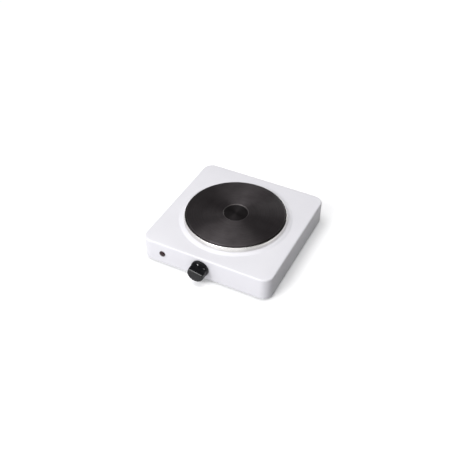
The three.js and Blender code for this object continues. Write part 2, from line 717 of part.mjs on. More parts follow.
// An arc of a tube about Y, from one angle to another, clockwise from +Z as seen from the front.
function arcY(inner, outer, low, high, from, to) {
  const at = (radius, share) => {
    const angle = (from + (to - from) * share) * DEGREE;
    return [radius * Math.sin(angle), radius * Math.cos(angle)];
  };
  const outline = [];
  for (let i = 0; i <= ARC_STEPS; i += 1) outline.push(at(outer, i / ARC_STEPS));
  for (let i = ARC_STEPS; i >= 0; i -= 1) outline.push(at(inner, i / ARC_STEPS));
  return extrudedY(outline, low, high);
}

// The bush carries a stop arc that the spindle's pin meets at both ends of the knob's travel.
function thermostatBush() {
  const bore = SPINDLE_RADIUS + GAP;
  const body = turnedY([
    [bore, -BUSH_OUT],
    [BUSH_RADIUS, -BUSH_OUT],
    [BUSH_RADIUS, BUSH_FLANGE_FRONT],
    [BUSH_FLANGE_RADIUS, BUSH_FLANGE_FRONT],
    [BUSH_FLANGE_RADIUS, BUSH_BACK],
    [bore, BUSH_BACK],
  ]);
  const pinHalf = Math.asin(STOP_PIN_RADIUS / STOP_ARC_INNER) / DEGREE;
  const arcHalf = (360 - KNOB_TRAVEL) / 2 - pinHalf - STOP_PIN_PLAY;
  const middle = KNOB_TRAVEL / 2 - KNOB_REST_TURN + 180;
  const stop = arcY(
    STOP_ARC_INNER,
    BUSH_FLANGE_RADIUS,
    BUSH_BACK - BUSH_FLANGE / 2,
    STOP_PIN_Y + STOP_PIN_RADIUS,
    middle - arcHalf,
    middle + arcHalf,
  );
  return part('thermostat_bush', join([body, stop]), brass);
}

function spindle() {
  const tip = SPINDLE_RADIUS / 2;
  const rod = turnedY([
    [0, -SPINDLE_OUT],
    [SPINDLE_RADIUS - SPINDLE_CHAMFER, -SPINDLE_OUT],
    [SPINDLE_RADIUS, -SPINDLE_OUT + SPINDLE_CHAMFER],
    [SPINDLE_RADIUS, STOP_PIN_Y + SPINDLE_TAIL / 2],
    [tip, STOP_PIN_Y + SPINDLE_TAIL * 0.75],
    [tip, SPINDLE_BACK],
    [0, SPINDLE_BACK],
  ], ROUND_MEDIUM);
  const crossHole = rodZ(STOP_PIN_RADIUS + GAP, -STOP_PIN_SUNK, SPINDLE_RADIUS + OVERRUN, ROUND_SMALL);
  return part('spindle', cut(rod, [
    shaftFlat(SPINDLE_FLAT, -SPINDLE_OUT - OVERRUN, -BUSH_OUT - OVERRUN),
    crossHole.translate(0, STOP_PIN_Y, 0),
  ]), platedSteel);
}

// What a flat takes off a shaft about Y, at the knob's angle when the plate is switched off.
function shaftFlat(distance, low, high) {
  const reach = 3 * SKIRT_RADIUS;
  return box([-reach, low, distance], [reach, high, reach]).rotateY(KNOB_REST_TURN * DEGREE);
}

function stopPin() {
  const pin = rodZ(STOP_PIN_RADIUS, GAP - STOP_PIN_SUNK, STOP_PIN_REACH, ROUND_SMALL);
  return part('stop_pin', pin.translate(0, STOP_PIN_Y, 0), platedSteel);
}

function thermostatScrew(side) {
  const length = BRACKET_BACK + SCREW_TIP;
  const geometry = screwGeometry(SCREW_RADIUS, MOUNT_SCREW_HEAD, length).rotateX(-Math.PI / 2);
  const name = `thermostat_screw_${side < 0 ? 'left' : 'right'}`;
  return part(name, geometry, platedSteel, [side * MOUNT_SCREW_OFFSET, -GAP, 0]);
}

// Blades and ceramic spacers are threaded on one rivet, which the bracket holds.
function bladeStack() {
  const at = [STACK_OFFSET, 0, 0];
  const spacer = (name, low, high) => (
    part(name, tubeY(STACK_BORE, STACK_RADIUS, low + GAP, high - GAP), ceramic, at)
  );
  const headFrom = STACK_BACK + GAP;
  const rivet = turnedY([
    [0, BRACKET_FRONT + GAP],
    [RIVET_RADIUS, BRACKET_FRONT + GAP],
    [RIVET_RADIUS, headFrom],
    [RIVET_RADIUS * 2, headFrom],
    [RIVET_RADIUS * 1.6, headFrom + RIVET_HEAD],
    [0, headFrom + RIVET_HEAD],
  ], ROUND_MEDIUM);
  return [
    spacer('spacer_front', BRACKET_BACK, MOVING_BLADE_Y),
    spacer('spacer_middle', MOVING_BLADE_Y + BLADE_SHEET, FIXED_BLADE_Y),
    spacer('spacer_rear', FIXED_BLADE_Y + BLADE_SHEET, BIMETAL_Y),
    part('stack_rivet', rivet, brass, at),
  ];
}

// A strip lies across the stack, with its rivet hole and its free end past the spindle.
function strip(front, thickness, tip, tail) {
  const sheet = box(
    [-tip, front, -BLADE_HALF_WIDTH],
    [STACK_OFFSET + tail, front + thickness, BLADE_HALF_WIDTH],
  );
  const hole = rodY(STACK_BORE, front - OVERRUN, front + thickness + OVERRUN, ROUND_SMALL);
  return cut(sheet, [hole.translate(STACK_OFFSET, 0, 0)]);
}

// A blade is a strip with a contact button on the side that faces the other blade.
function blade(name, front, contactFrom) {
  const contact = rodY(CONTACT_RADIUS, contactFrom, contactFrom + BLADE_SHEET + CONTACT_HEIGHT, ROUND_SMALL);
  contact.translate(-CONTACT_OFFSET, 0, 0);
  return part(name, join([strip(front, BLADE_SHEET, BLADE_TIP, BLADE_TAIL), contact]), brass);
}

const movingBlade = () => blade('moving_blade', MOVING_BLADE_Y, MOVING_BLADE_Y);
const fixedBlade = () => blade('fixed_blade', FIXED_BLADE_Y, FIXED_BLADE_Y - CONTACT_HEIGHT);

function bimetalStrip() {
  return part('bimetal_strip', strip(BIMETAL_Y, BIMETAL_SHEET, BIMETAL_TIP, STACK_RADIUS), bimetal);
}

// A skirt and a grip with one flat, hollow behind, with a hub that fits the spindle's flat.
function knob() {
  const skirtFront = -KNOB_STANDOFF - SKIRT_DEPTH;
  const front = -KNOB_FRONT;
  const skirt = turnedY([
    [0, -KNOB_STANDOFF],
    [SKIRT_RADIUS, -KNOB_STANDOFF],
    [SKIRT_RADIUS, skirtFront + KNOB_BEVEL],
    [SKIRT_RADIUS - KNOB_BEVEL, skirtFront],
    [0, skirtFront],
  ], ROUND_LARGE);
  const grip = turnedY([
    [0, skirtFront + OVERRUN],
    [GRIP_RADIUS, skirtFront + OVERRUN],
    [GRIP_RADIUS, skirtFront],
    [GRIP_TIP_RADIUS, front + KNOB_BEVEL],
    [GRIP_TIP_RADIUS - KNOB_BEVEL, front],
    [0, front],
  ], ROUND_LARGE);
  const trimmedGrip = cut(grip, [shaftFlat(GRIP_FLAT, front - OVERRUN, skirtFront)]);
  const cavityEnd = skirtFront + KNOB_WALL / 2;
  const cavity = turnedY([
    [KNOB_HUB_RADIUS, cavityEnd],
    [KNOB_HUB_RADIUS, KNOB_HUB_BACK],
    [0, KNOB_HUB_BACK],
    [0, OVERRUN],
    [SKIRT_RADIUS - KNOB_WALL, OVERRUN],
    [SKIRT_RADIUS - KNOB_WALL, cavityEnd],
  ], ROUND_LARGE);
  const boreEnd = -SPINDLE_OUT - GAP;
  const bore = cut(rodY(SPINDLE_RADIUS + GAP, boreEnd, OVERRUN), [
    shaftFlat(SPINDLE_FLAT + GAP, boreEnd - OVERRUN, KNOB_HUB_BACK - OVERRUN),
  ]);
  return part('knob', cut(join([skirt, trimmedGrip]), [cavity, bore]), blackPlastic);
}

// A split ring of spring steel that squeezes the knob's hub on to the spindle.
function knobClip() {
  const inner = KNOB_HUB_RADIUS + GAP;
  const open = CLIP_SPLIT / 2;
  const front = KNOB_HUB_BACK - CLIP_WIDTH;
  const geometry = arcY(inner, inner + CLIP_WIRE, front, KNOB_HUB_BACK, open, 360 - open);
  return part('knob_clip', geometry, platedSteel);
}

// ---- pilot lamp, about its axis, y measured from the casing's front ------------------------

function pilotLamp() {
  const bore = LAMP_BODY_RADIUS - LAMP_WALL;
  const lens = turnedY([
    [0, -LAMP_DOME - GAP],
    [LAMP_RADIUS * 0.45, -LAMP_DOME * 0.93 - GAP],
    [LAMP_RADIUS * 0.8, -LAMP_DOME * 0.66 - GAP],
    [LAMP_RADIUS, -LAMP_DOME * 0.25 - GAP],
    [LAMP_RADIUS, -GAP],
    [LAMP_BODY_RADIUS, -GAP],
    [LAMP_BODY_RADIUS, LAMP_DEPTH],
    [bore, LAMP_DEPTH],
    [bore, 0],
    [0, 0],
  ]);
  const clipFront = SHEET + GAP;
  const clip = tubeY(
    LAMP_BODY_RADIUS + GAP, LAMP_RADIUS + LAMP_CLIP_REACH, clipFront, clipFront + LAMP_CLIP_SHEET,
  );
  const bulb = turnedY([
    [0, 1],
    [BULB_RADIUS * 0.7, 1.5],
    [BULB_RADIUS, 3],
    [BULB_RADIUS, LAMP_DEPTH - 2],
    [BULB_RADIUS * 0.6, LAMP_DEPTH],
    [0, LAMP_DEPTH],
  ], ROUND_SMALL);
  const resistorFront = LAMP_DEPTH + GAP;
  const resistor = rodY(RESISTOR_RADIUS, resistorFront, resistorFront + RESISTOR_LENGTH, ROUND_SMALL);
  resistor.translate(-LEAD_OFFSET, 0, 0);
  const group = new THREE.Group();
  group.position.set(LAMP_X, FRONT, KNOB_Z);
  group.add(
    part('lamp_lens', lens, redLens),
    part('lamp_clip', clip, platedSteel),
    part('neon_bulb', bulb, glass),
    part('lamp_resistor', resistor, insulation(0xc8b48a)),
  );
  return group;
}

// ---- rear and wiring ----------------------------------------------------------------------

// A cord gland clipped in the rear wall, seen about its axis with y measured from the rear face.
function cordGland() {
  const geometry = turnedY([
    [GLAND_BORE, GLAND_OUT],
    [GLAND_FLANGE - GLAND_TAPER, GLAND_OUT],
    [GLAND_FLANGE, GLAND_OUT / 2],
    [GLAND_FLANGE, GAP],
    [GLAND_BODY, GAP],
    [GLAND_BODY, -SHEET - GAP],
    [GLAND_BODY + GLAND_BARB, -SHEET - GAP],
    [GLAND_BODY + GLAND_BARB / 2, -SHEET - GLAND_IN],
    [GLAND_BORE, -SHEET - GLAND_IN],
  ]);
  return part('cord_gland', geometry, blackRubber, [CORD_X, REAR, CORD_Z]);
}

const BLOCK_LOW = BASE_TOP + GAP;
const BLOCK_TOP = BLOCK_LOW + BLOCK_SIZE[2];
const BLOCK_FRONT = BLOCK_Y - BLOCK_SIZE[1] / 2;
const PORT_Z = BLOCK_LOW + BLOCK_SIZE[2] / 2;
const WELL_LOW = BLOCK_TOP - TERMINAL_WELL;

// A ceramic block with a wire port at each end of each terminal, and a screw well above it.
function terminalBlock() {
  const half = BLOCK_SIZE.map((side) => side / 2);
  const body = box([-half[0], -half[1], BLOCK_LOW], [half[0], half[1], BLOCK_TOP]);
  const tools = [rodZ(SCREW_HOLE, BLOCK_LOW - OVERRUN, BLOCK_LOW + BLOCK_SCREW_HOLE, ROUND_SMALL)];
  for (const side of [-1, 1]) {
    const x = side * TERMINAL_PITCH;
    for (const end of [-half[1] - OVERRUN, half[1] - PORT_DEPTH]) {
      const port = rodY(WIRE_RADIUS + PORT_PLAY, end, end + PORT_DEPTH + OVERRUN, ROUND_SMALL);
      tools.push(port.translate(x, 0, PORT_Z));
    }
    const well = rodZ(TERMINAL_SCREW_RADIUS * 1.6, WELL_LOW, BLOCK_TOP + OVERRUN, ROUND_SMALL);
    tools.push(well.translate(x, 0, 0));
  }
  return part('terminal_block', cut(body, tools), ceramic, [BLOCK_X, BLOCK_Y, 0]);
}

function terminalScrew(side) {
  const head = rodZ(TERMINAL_SCREW_RADIUS, WELL_LOW + GAP, BLOCK_TOP - 1, ROUND_SMALL);
  const slot = box(
    [-TERMINAL_SCREW_RADIUS - OVERRUN, -SCREW_SLOT / 2, BLOCK_TOP - 2],
    [TERMINAL_SCREW_RADIUS + OVERRUN, SCREW_SLOT / 2, BLOCK_TOP],
  );
  const name = `terminal_screw_${side < 0 ? 'neutral' : 'live'}`;
  return part(name, cut(head, [slot]), brass, [BLOCK_X + side * TERMINAL_PITCH, BLOCK_Y, 0]);
}

function blockScrew() {
  const seat = BASE_LOW - GAP;
  const length = BLOCK_LOW + BLOCK_SCREW_HOLE - SCREW_TIP - seat;
  const geometry = screwGeometry(SCREW_RADIUS, SCREW_HEAD_RADIUS, length);
  return part('block_screw', geometry, platedSteel, [BLOCK_X, BLOCK_Y, seat]);
}

const EARTH_NUT_LOW = BASE_TOP + GAP;
const EARTH_NUT_TOP = EARTH_NUT_LOW + EARTH_NUT_HEIGHT;

function earthTerminal() {
  const seat = BASE_LOW - GAP;
  const screw = screwGeometry(SCREW_RADIUS, SCREW_HEAD_RADIUS, EARTH_NUT_TOP + SCREW_TIP - seat);
  const nut = nutGeometry(EARTH_NUT_FLATS, SCREW_RADIUS, EARTH_NUT_LOW, EARTH_NUT_TOP);
  return [
    part('earth_screw', screw, platedSteel, [EARTH_X, EARTH_Y, seat]),
    part('earth_nut', nut, brass, [EARTH_X, EARTH_Y, 0]),
  ];
}

// Wires run low over the base plate; each route is chosen by hand, end to end.
function wires() {
  const portY = BLOCK_FRONT + PORT_DEPTH - GAP;
  const tailX = KNOB_X + STACK_OFFSET + BLADE_TAIL + GAP;
  const movingY = FRONT + MOVING_BLADE_Y + BLADE_SHEET / 2;
  const fixedY = FRONT + FIXED_BLADE_Y + BLADE_SHEET / 2;
  const pinEnd = PLATE_LOW - PIN_REACH - GAP;
  const lampBack = FRONT + LAMP_DEPTH + GAP;
  const earthEnd = EARTH_NUT_TOP + SCREW_TIP + 3 * GAP;
  const studEnd = PLATE_LOW - STUD_LENGTH - GAP;
  const low = BASE_TOP + 5;
  const live = BLOCK_X + TERMINAL_PITCH;
  const neutral = BLOCK_X - TERMINAL_PITCH;
  const routes = {
    wire_live: [0x6b4326, [
      [live, portY, PORT_Z], [live, BLOCK_FRONT - 6, PORT_Z], [44, 66, low], [64, 20, low],
      [68, -40, low], [66, -92, low + 3], [tailX + 14, movingY, KNOB_Z - 4],
      [tailX + 5, movingY, KNOB_Z], [tailX, movingY, KNOB_Z],
    ]],
    wire_switched: [0x1c1c1c, [
      [tailX, fixedY, KNOB_Z], [tailX + 5, fixedY, KNOB_Z], [tailX + 8, fixedY + 6, KNOB_Z - 4],
      [22, -88, low + 6], [4, -79, low + 6], [0, -COIL_OUTER, pinEnd - 7], [0, -COIL_OUTER, pinEnd],
    ]],
    wire_neutral: [0x2c4f8f, [
      [neutral, portY, PORT_Z], [neutral, BLOCK_FRONT - 6, PORT_Z], [-10, 60, low], [-26, 10, low],
      [-18, -30, low + 3], [0, -COIL_INNER, pinEnd - 7], [0, -COIL_INNER, pinEnd],
    ]],
    wire_earth: [0x6f8f2c, [
      [EARTH_X, EARTH_Y, earthEnd], [EARTH_X, EARTH_Y - 3, earthEnd + 3], [74, 62, low + 7],
      [50, 24, low + 7], [16, 4, low + 1], [0, 0, studEnd - 8], [0, 0, studEnd],
    ]],
    lamp_wire_live: [0xb8b4a8, [
      [LAMP_X + LEAD_OFFSET, lampBack, KNOB_Z], [LAMP_X + LEAD_OFFSET, lampBack + 5, KNOB_Z - 1],
      [-66, -96, low + 2], [-30, -90, low],
      [-8, -82, low + 2], [-PIN_RADIUS - 1.6, -COIL_OUTER, pinEnd - 4],
      [-PIN_RADIUS - 1.6, -COIL_OUTER, pinEnd],
    ]],
    lamp_wire_neutral: [0xd0ccbf, [
      [LAMP_X - LEAD_OFFSET, lampBack + RESISTOR_LENGTH + GAP, KNOB_Z],
      [LAMP_X - LEAD_OFFSET, lampBack + RESISTOR_LENGTH + 6, KNOB_Z - 1], [-72, -84, low + 1],
      [-44, -60, low], [-14, -50, low + 3], [-PIN_RADIUS - 1.6, -COIL_INNER, pinEnd - 4],
      [-PIN_RADIUS - 1.6, -COIL_INNER, pinEnd],
    ]],
  };
  return Object.entries(routes).map(([name, [color, points]]) => {
    const curve = new THREE.CatmullRomCurve3(points.map((point) => new THREE.Vector3(...point)));
    const steps = points.length * WIRE_STEPS_PER_POINT;
    return part(name, tubeAlong(curve, WIRE_RADIUS, steps), insulation(color));
  });
}

// ---- assembly -----------------------------------------------------------------------------

function control() {
  const group = new THREE.Group();
  group.position.set(KNOB_X, FRONT, KNOB_Z);
  group.add(
    thermostatBracket(),
    thermostatBush(),
    thermostatScrew(-1),
    thermostatScrew(1),
    ...bladeStack(),
    movingBlade(),
    fixedBlade(),
    bimetalStrip(),
    spindle(),
    stopPin(),
    knob(),
    knobClip(),
  );
  return group;
}

const hotplate = new THREE.Group();
hotplate.add(
  casing(),
  basePlate(),
  ...footPlaces.map((place) => foot(...place)),
  ...footPlaces.map((place) => footScrew(...place)),
  hotPlate(),
  trimRing(),
  heatingCoil(),
  coilFiller(),
  plateCover(),
  clampStud(),
  clampBridge(),
  clampWasher(),
  clampNut(),
  ...elementTerminals(),
  control(),
  pilotLamp(),
  cordGland(),
  terminalBlock(),
  terminalScrew(-1),
  terminalScrew(1),
  blockScrew(),
  ...earthTerminal(),
  ...wires(),
);
hotplate.position.y = (KNOB_FRONT - GLAND_OUT) / 2;

export default hotplate;
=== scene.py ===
import json
import math

import bpy
from mathutils import Matrix, Vector


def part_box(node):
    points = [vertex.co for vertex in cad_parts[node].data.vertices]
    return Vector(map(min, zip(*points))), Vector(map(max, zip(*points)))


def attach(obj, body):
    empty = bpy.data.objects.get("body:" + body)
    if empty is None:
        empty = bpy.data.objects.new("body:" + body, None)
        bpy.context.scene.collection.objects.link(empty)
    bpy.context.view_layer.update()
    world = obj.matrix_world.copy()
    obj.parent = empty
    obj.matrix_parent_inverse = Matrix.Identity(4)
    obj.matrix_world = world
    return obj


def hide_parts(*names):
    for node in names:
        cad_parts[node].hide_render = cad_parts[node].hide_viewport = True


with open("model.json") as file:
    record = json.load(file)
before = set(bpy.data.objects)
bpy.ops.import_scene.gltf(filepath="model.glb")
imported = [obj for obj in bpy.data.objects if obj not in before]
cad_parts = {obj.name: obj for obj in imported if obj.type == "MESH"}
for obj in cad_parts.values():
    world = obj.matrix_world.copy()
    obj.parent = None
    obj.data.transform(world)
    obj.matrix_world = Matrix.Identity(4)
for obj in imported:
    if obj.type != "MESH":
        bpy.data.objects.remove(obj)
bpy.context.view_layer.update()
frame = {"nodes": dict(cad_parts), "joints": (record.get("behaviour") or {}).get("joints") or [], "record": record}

NODES = frame["nodes"]
SLOT_OF = {row["node"]: row["material_slot"] for row in frame["record"]["subparts"]}
KNOB_TURN = next(row for row in frame["joints"] if row["name"] == "knob_turn")
MM = 0.001

# ---- places taken from the frame ----------------------------------------------------------

CASING_LOW, CASING_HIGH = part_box("casing")
PLATE_LOW, PLATE_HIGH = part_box("hot_plate")
RING_LOW, RING_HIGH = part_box("trim_ring")
KNOB_LOW, KNOB_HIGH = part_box("knob")
LENS_LOW, LENS_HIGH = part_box("lamp_lens")

CENTRE = (PLATE_LOW + PLATE_HIGH) / 2
HALF_WIDTH = ((CASING_HIGH - CASING_LOW) / 2).x
RIM = CASING_LOW.z
FRONT = CASING_LOW.y
COLLAR_TOP = CASING_HIGH.z
COLLAR_RISE = 2 * MM
TOP = COLLAR_TOP - COLLAR_RISE
KNOB_AXIS = Vector(KNOB_TURN["pos_m"])

# The shallow recess in the middle of the plate: its shape and the iron's look both follow it.
RECESS_RADIUS = 23 * MM
RECESS_DEPTH = 1.5 * MM

# ---- camera -------------------------------------------------------------------------------

CAMERA_AZIMUTH = math.radians(26.37)
CAMERA_ELEVATION = math.radians(42.1)
CAMERA_ROLL = math.radians(0.51)
CAMERA_DISTANCE = 1.2275
CAMERA_LENS = 53.0
CAMERA_SENSOR = 36
AIM_FROM_TOP_CENTRE = Vector((20.4, -43.9, 0)) * MM


def add_camera():
    data = bpy.data.cameras.new("camera")
    data.lens = CAMERA_LENS
    data.sensor_width = CAMERA_SENSOR
    camera = bpy.data.objects.new("camera", data)
    bpy.context.scene.collection.objects.link(camera)
    back = Vector((
        math.sin(CAMERA_AZIMUTH) * math.cos(CAMERA_ELEVATION),
        -math.cos(CAMERA_AZIMUTH) * math.cos(CAMERA_ELEVATION),
        math.sin(CAMERA_ELEVATION),
    ))
    right = Vector((0, 0, 1)).cross(back).normalized()
    up = back.cross(right)
    turned_right = right * math.cos(CAMERA_ROLL) + up * math.sin(CAMERA_ROLL)
    turned_up = up * math.cos(CAMERA_ROLL) - right * math.sin(CAMERA_ROLL)
    aim = Vector((CENTRE.x, CENTRE.y, TOP)) + AIM_FROM_TOP_CENTRE
    pose = Matrix((turned_right, turned_up, back)).transposed().to_4x4()
    pose.translation = aim + back * CAMERA_DISTANCE
    camera.matrix_world = pose
    bpy.context.scene.camera = camera


# ---- studio -------------------------------------------------------------------------------

# Each softbox: place, (width, height) and watts. All of them face the origin.
SOFTBOXES = {
    "front_softbox": ((-0.55, -1.6, 1.45), (0.9, 0.5), 20),
    "top_softbox": ((-0.22, 0.05, 1.9), (1.3, 2.2), 26),
    "back_softbox": ((0.35, 1.9, 0.55), (1.2, 0.6), 8),
}
WORLD_TINT = (0.97, 0.97, 1.0, 1)
WORLD_DARK = 0.02
WORLD_BRIGHT = 1.3
WORLD_BRIGHT_SIDE = (-0.3, -0.95, 0.1)
WORLD_BRIGHT_FROM = 0.9     # the cosine to the bright side where the dome is at its brightest
FLOOR_REACH = 6.0
FLOOR_PAINT = (0.95, 0.95, 0.95, 1)
FLOOR_ROUGHNESS = 0.9
FLOOR_GLOW = 0.14


def add_softbox(name, place, size, watts):
    data = bpy.data.lights.new(name, "AREA")
    data.shape = "RECTANGLE"
    data.size, data.size_y = size
    data.energy = watts
    light = bpy.data.objects.new(name, data)
    bpy.context.scene.collection.objects.link(light)
    light.location = place
    light.rotation_euler = Vector(place).to_track_quat("Z", "Y").to_euler()


def add_world():
    """A plain dome of light, bright on the object's front left and dim on its right and back."""
    world = bpy.data.worlds.new("studio")
    world.use_nodes = True
    tree = world.node_tree
    background = tree.nodes["Background"]
    background.inputs["Color"].default_value = WORLD_TINT
    direction = tree.nodes.new("ShaderNodeTexCoord").outputs["Generated"]
    facing = tree.nodes.new("ShaderNodeVectorMath")
    facing.operation = "DOT_PRODUCT"
    facing.inputs[1].default_value = WORLD_BRIGHT_SIDE
    tree.links.new(direction, facing.inputs[0])
    ramp = tree.nodes.new("ShaderNodeMapRange")
    ramp.interpolation_type = "SMOOTHSTEP"
    ramp.inputs["From Min"].default_value = 0.0
    ramp.inputs["From Max"].default_value = WORLD_BRIGHT_FROM
    ramp.inputs["To Min"].default_value = WORLD_DARK
    ramp.inputs["To Max"].default_value = WORLD_BRIGHT
    tree.links.new(facing.outputs["Value"], ramp.inputs["Value"])
    tree.links.new(ramp.outputs["Result"], background.inputs["Strength"])
    bpy.context.scene.world = world


def add_floor():
    """A white floor with a little glow, which keeps it white to the edges of the picture."""
    reach = FLOOR_REACH
    corners = [(-reach, -reach, 0), (reach, -reach, 0), (reach, reach, 0), (-reach, reach, 0)]
    mesh = bpy.data.meshes.new("floor")
    mesh.from_pydata(corners, [], [(0, 1, 2, 3)])
    floor = bpy.data.objects.new("floor", mesh)
    bpy.context.scene.collection.objects.link(floor)
    paint = bpy.data.materials.new("floor_paint")
    paint.use_nodes = True
    shader = paint.node_tree.nodes["Principled BSDF"]
    shader.inputs["Base Color"].default_value = FLOOR_PAINT
    shader.inputs["Roughness"].default_value = FLOOR_ROUGHNESS
    shader.inputs["Specular IOR Level"].default_value = 0.0
    shader.inputs["Emission Color"].default_value = (1, 1, 1, 1)
    shader.inputs["Emission Strength"].default_value = FLOOR_GLOW
    mesh.materials.append(paint)
    floor.visible_diffuse = False


def add_studio():
    bpy.context.scene.view_settings.view_transform = "Standard"
    add_world()
    for name, (place, size, watts) in SOFTBOXES.items():
        add_softbox(name, place, size, watts)
    add_floor()


# ---- material kit -------------------------------------------------------------------------

class Surface:
    """A Principled material whose colour, roughness and bump come from object-space nodes."""

    def __init__(self, name, **sockets):
        self.material = bpy.data.materials.new(name)
        self.material.use_nodes = True
        self.tree = self.material.node_tree
        self.shader = self.tree.nodes["Principled BSDF"]
        for socket, value in sockets.items():
            self.shader.inputs[socket.replace("_", " ")].default_value = value
        self.place = self.node("ShaderNodeTexCoord").outputs["Object"]

    def node(self, kind, **settings):
        made = self.tree.nodes.new(kind)
        for key, value in settings.items():
            setattr(made, key, value)
        return made

    def link(self, output, socket):
        self.tree.links.new(output, socket)

    def operate(self, kind, operation, values):
        """A math node on the values: a number or tuple is set, and a socket is linked."""
        node = self.node(kind, operation=operation)
        for value, socket in zip(values, node.inputs):
            if isinstance(value, (int, float, tuple)):
                socket.default_value = value
            else:
                self.link(value, socket)
        return node

    def math(self, operation, *values):
        return self.operate("ShaderNodeMath", operation, values).outputs["Value"]

    def vector_math(self, operation, *values):
        return self.operate("ShaderNodeVectorMath", operation, values).outputs["Vector"]

    def blend(self, first, second, share):
        """Share of the first value, and what is left of the second."""
        return self.math(
            "ADD", self.math("MULTIPLY", first, share), self.math("MULTIPLY", second, 1 - share),
        )

    def noise(self, scale, detail=3.0, rough=0.5, stretch=None):
        node = self.node("ShaderNodeTexNoise")
        source = self.vector_math("MULTIPLY", self.place, stretch) if stretch else self.place
        self.link(source, node.inputs["Vector"])
        node.inputs["Scale"].default_value = scale
        node.inputs["Detail"].default_value = detail
        node.inputs["Roughness"].default_value = rough
        return node.outputs["Fac"]

    def noise_along(self, value, scale, detail):
        """Noise that changes with one value only, so that it makes rings of a radius."""
        node = self.node("ShaderNodeTexNoise", noise_dimensions="1D")
        self.link(value, node.inputs["W"])
        node.inputs["Scale"].default_value = scale
        node.inputs["Detail"].default_value = detail
        return node.outputs["Fac"]

    def speckle(self, scale):
        node = self.node("ShaderNodeTexVoronoi")
        self.link(self.place, node.inputs["Vector"])
        node.inputs["Scale"].default_value = scale
        return node.outputs["Distance"]

    def step(self, value, start, end):
        """0 before start and 1 past end, with a smooth change between."""
        node = self.node("ShaderNodeMapRange", interpolation_type="SMOOTHSTEP")
        self.link(value, node.inputs["Value"])
        node.inputs["From Min"].default_value = start
        node.inputs["From Max"].default_value = end
        return node.outputs["Result"]

    def radius_from(self, centre):
        """The distance from the upright line through centre."""
        shifted = self.vector_math("SUBTRACT", self.place, tuple(centre))
        flat = self.vector_math("MULTIPLY", shifted, (1, 1, 0))
        return self.operate("ShaderNodeVectorMath", "LENGTH", [flat]).outputs["Value"]

    def colours(self, factor, stops):
        node = self.node("ShaderNodeValToRGB")
        self.link(factor, node.inputs[0])
        ramp = node.color_ramp.elements
        while len(ramp) < len(stops):
            ramp.new(0.5)
        for element, (position, colour) in zip(ramp, stops):
            element.position = position
            element.color = (*colour, 1)
        self.link(node.outputs[0], self.shader.inputs["Base Color"])

    def roughness(self, factor, low, high):
        node = self.node("ShaderNodeMapRange")
        self.link(factor, node.inputs["Value"])
        node.inputs["To Min"].default_value = low
        node.inputs["To Max"].default_value = high
        self.link(node.outputs[0], self.shader.inputs["Roughness"])

    def bumps(self, *layers):
        """Each layer is (height, strength, distance in metres), and rides on the one before."""
        normal = None
        for height, strength, distance in layers:
            node = self.node("ShaderNodeBump")
            node.inputs["Strength"].default_value = strength
            node.inputs["Distance"].default_value = distance
            self.link(height, node.inputs["Height"])
            if normal:
                self.link(normal, node.inputs["Normal"])
            normal = node.outputs[0]
        self.link(normal, self.shader.inputs["Normal"])


def tinted(colour, factor):
    return tuple(min(1.0, channel * factor) for channel in colour)


def enamel():
    s = Surface("white_enamel", Coat_Weight=0.1, Coat_Roughness=0.1, Specular_IOR_Level=0.3)
    s.colours(s.noise(14, 4), [(0.3, (0.67, 0.662, 0.69)), (0.7, (0.695, 0.688, 0.715))])
    s.roughness(s.noise(60, 3), 0.28, 0.38)
    s.bumps((s.noise(260, 2), 0.12, 0.12 * MM), (s.noise(35, 2), 0.25, 0.3 * MM))
    return s.material


# Each pair is (start, end) of a smooth step in the distance from the plate's centre.
IRON_TURNED = (RECESS_RADIUS - 0.4 * MM, RECESS_RADIUS + 0.2 * MM)
# The next two steps mark out a painted highlight: a lighter band on the recess's rim standing in for the light its
# edge catches.
IRON_RIM_HIGHLIGHT_FROM = (RECESS_RADIUS - 1.4 * MM, RECESS_RADIUS - 0.6 * MM)
IRON_RIM_HIGHLIGHT_UNTIL = (RECESS_RADIUS + 1.2 * MM, RECESS_RADIUS + 0.4 * MM)
GROOVE_PITCH = 0.9 * MM
RECESS_TONE = 0.25          # of the tone outside it
RECESS_ROUGHNESS = 0.78
TURNED_ROUGHNESS = 0.38


def cast_iron():
    """Iron with turned grooves, a dull dark recess, and a painted highlight band on the recess's rim."""
    s = Surface(
        "turned_cast_iron",
        Metallic=0.7, Anisotropic=0.9, Anisotropic_Rotation=0.25, Specular_IOR_Level=0.3,
    )
    radius = s.radius_from(CENTRE)
    rings = s.noise_along(radius, 900, 3)
    grooves = s.math("SINE", s.math("MULTIPLY", radius, 2 * math.pi / GROOVE_PITCH))
    grain = s.noise(900, 3)
    mottle = s.noise(45, 4, 0.6)
    turned_part = s.step(radius, *IRON_TURNED)
    tone = s.math(
        "MULTIPLY",
        s.blend(rings, mottle, 0.55),
        s.math("MULTIPLY_ADD", turned_part, 1 - RECESS_TONE, RECESS_TONE),
    )
    # Painted highlight: the band on the recess's rim is lifted to the lightest tone, as if its edge caught the
    # light.
    painted_rim_highlight = s.math("MULTIPLY", s.step(radius, *IRON_RIM_HIGHLIGHT_FROM), s.step(radius, *IRON_RIM_HIGHLIGHT_UNTIL))
    s.colours(s.math("MAXIMUM", tone, painted_rim_highlight), [
        (0.1, (0.011, 0.0095, 0.01)),
        (0.25, (0.025, 0.021, 0.022)),
        (0.45, (0.049, 0.043, 0.045)),
        (0.7, (0.067, 0.06, 0.062)),
        (1.0, (0.1, 0.092, 0.092)),
    ])
    s.roughness(turned_part, RECESS_ROUGHNESS, TURNED_ROUGHNESS)
    tangent = s.node("ShaderNodeTangent", direction_type="RADIAL", axis="Z")
    s.link(tangent.outputs[0], s.shader.inputs["Tangent"])
    s.bumps((grooves, 0.1, 0.04 * MM), (rings, 0.2, 0.06 * MM), (grain, 0.2, 0.05 * MM))
    return s.material


